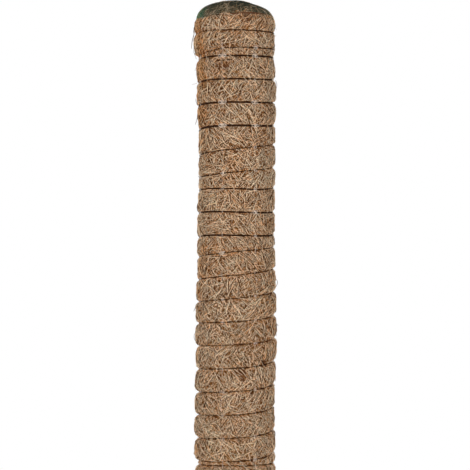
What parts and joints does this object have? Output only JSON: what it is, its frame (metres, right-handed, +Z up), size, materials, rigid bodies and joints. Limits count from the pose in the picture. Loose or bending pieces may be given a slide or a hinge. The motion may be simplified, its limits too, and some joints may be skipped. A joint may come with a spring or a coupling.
{
  "type": "moss pole",
  "caption": "Upright moss pole: a coir mat bound in bulges by a wound thread over a net-wrapped fibre fill, on a pointed wooden stake, for climbing plants to root into.",
  "frame": {"origin": "on the pole's axis at the flat foot of the coir mat, where the soil's surface is in use", "axes": "+Z up along the pole, -Y towards the front of the picture"},
  "size_m": [0.0506, 0.051, 0.45],
  "materials": {
    "stake_wood": "raw planed softwood, matt",
    "coir_fill": "loose brown coir fibre",
    "green_net": "fine green knitted net, slightly glossy",
    "coir_mat": "matted light brown coir fibre, rough and curly",
    "binding_thread": "dark brown twisted thread",
    "lengthwise_thread": "pale grey nylon thread, a little translucent"
  },
  "bodies": {
    "root": {"stake": "stake_wood", "fibre_core": "coir_fill", "net_sleeve": "green_net", "coir_mat": "coir_mat", "binding_thread": "binding_thread", "binding_knot_bottom": "binding_thread", "binding_knot_top": "binding_thread", "lengthwise_thread_1": "lengthwise_thread", "lengthwise_thread_2": "lengthwise_thread", "lengthwise_thread_3": "lengthwise_thread", "lengthwise_thread_4": "lengthwise_thread", "lengthwise_thread_5": "lengthwise_thread", "lengthwise_thread_6": "lengthwise_thread", "lengthwise_thread_7": "lengthwise_thread"}
  },
  "joints": []
}
